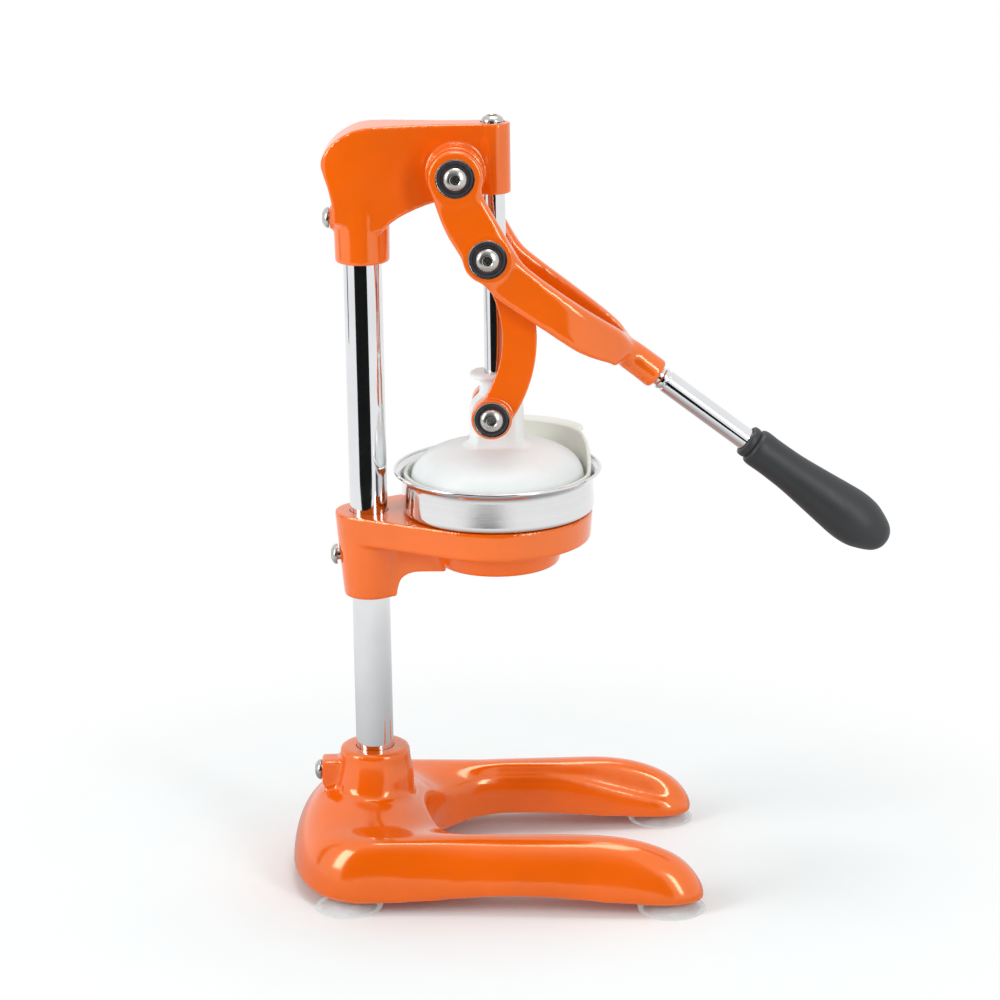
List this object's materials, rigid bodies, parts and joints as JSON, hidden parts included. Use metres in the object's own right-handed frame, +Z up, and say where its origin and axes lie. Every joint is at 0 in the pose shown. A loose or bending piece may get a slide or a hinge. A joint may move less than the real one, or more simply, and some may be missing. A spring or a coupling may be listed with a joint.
{
  "type": "lever citrus juice press",
  "caption": "Hand lever citrus press: horseshoe base, pillar, bowl with strainer and reamer, and a forked lever that drives a press cup down through curved links.",
  "frame": {"origin": "on the table under the middle of the whole press's box", "axes": "+X from the pillar towards the lever's grip, +Y to the far side of the press as pictured, +Z up"},
  "size_m": [0.311, 0.158, 0.3983],
  "materials": {
    "orange_enamel": "gloss orange enamel on cast aluminium",
    "chrome_plate": "mirror chrome plate",
    "spun_steel": "spun stainless sheet with fine turned lines",
    "bright_screws": "bright plated button heads",
    "ivory_plastic": "satin ivory plastic",
    "white_plastic": "satin white plastic",
    "bush_plastic": "dark moulded plastic",
    "grip_plastic": "fine matte black",
    "clear_rubber": "clear soft vinyl"
  },
  "bodies": {
    "frame": {"base_casting": "orange_enamel", "suction_foot_front_near": "clear_rubber", "suction_foot_front_far": "clear_rubber", "suction_foot_back_near": "clear_rubber", "suction_foot_back_far": "clear_rubber", "pillar_tube": "chrome_plate", "base_set_screw": "bright_screws", "bowl_bracket": "orange_enamel", "bracket_set_screw": "bright_screws", "head_casting": "orange_enamel", "head_set_screw": "bright_screws", "upper_pivot_screw_near": "bright_screws", "upper_pivot_screw_far": "bright_screws"},
    "lever": {"fork_casting": "orange_enamel", "handle_rod": "chrome_plate", "handle_grip": "grip_plastic", "upper_pivot_bush_near": "bush_plastic", "upper_pivot_bush_far": "bush_plastic", "middle_pivot_bush_near": "bush_plastic", "middle_pivot_bush_far": "bush_plastic", "middle_pivot_screw_near": "bright_screws", "middle_pivot_screw_far": "bright_screws"},
    "links": {"link_near": "orange_enamel", "link_far": "orange_enamel", "lower_pivot_bush_near": "bush_plastic", "lower_pivot_bush_far": "bush_plastic"},
    "press": {"press_cup": "white_plastic", "cross_axle": "bright_screws", "plunger_rod": "chrome_plate", "plunger_top_screw": "bright_screws", "lower_pivot_screw_near": "bright_screws", "lower_pivot_screw_far": "bright_screws"},
    "bowl": {"juice_bowl": "spun_steel"},
    "strainer": {"strainer_reamer": "ivory_plastic"}
  },
  "joints": [
    {"name": "lever_swing", "type": "hinge", "parent": "frame", "child": "lever", "pos_m": [-0.06405, 0, 0.3715], "axis": [0, -1, 0], "range_deg": [0, 85]},
    {"name": "press_slide", "type": "slide", "parent": "frame", "child": "press", "axis": [0, 0, 1], "range_m": [0, 0.05623]},
    {"name": "link_swing", "type": "hinge", "parent": "press", "child": "links", "pos_m": [-0.04795, 0, 0.2476], "axis": [0, 1, 0], "range_deg": [0, 18.41]},
    {"name": "bowl_turn", "type": "hinge", "parent": "frame", "child": "bowl", "pos_m": [-0.04545, 0, 0.1961], "axis": [0, 0, 1], "continuous": true},
    {"name": "strainer_turn", "type": "hinge", "parent": "bowl", "child": "strainer", "pos_m": [-0.04545, 0, 0.1972], "axis": [0, 0, 1], "continuous": true}
  ],
  "couplings": [
    {"joint": "press_slide", "follows": "lever_swing", "m_per_rad": 0.037901},
    {"joint": "link_swing", "follows": "lever_swing", "ratio": 0.21658}
  ]
}
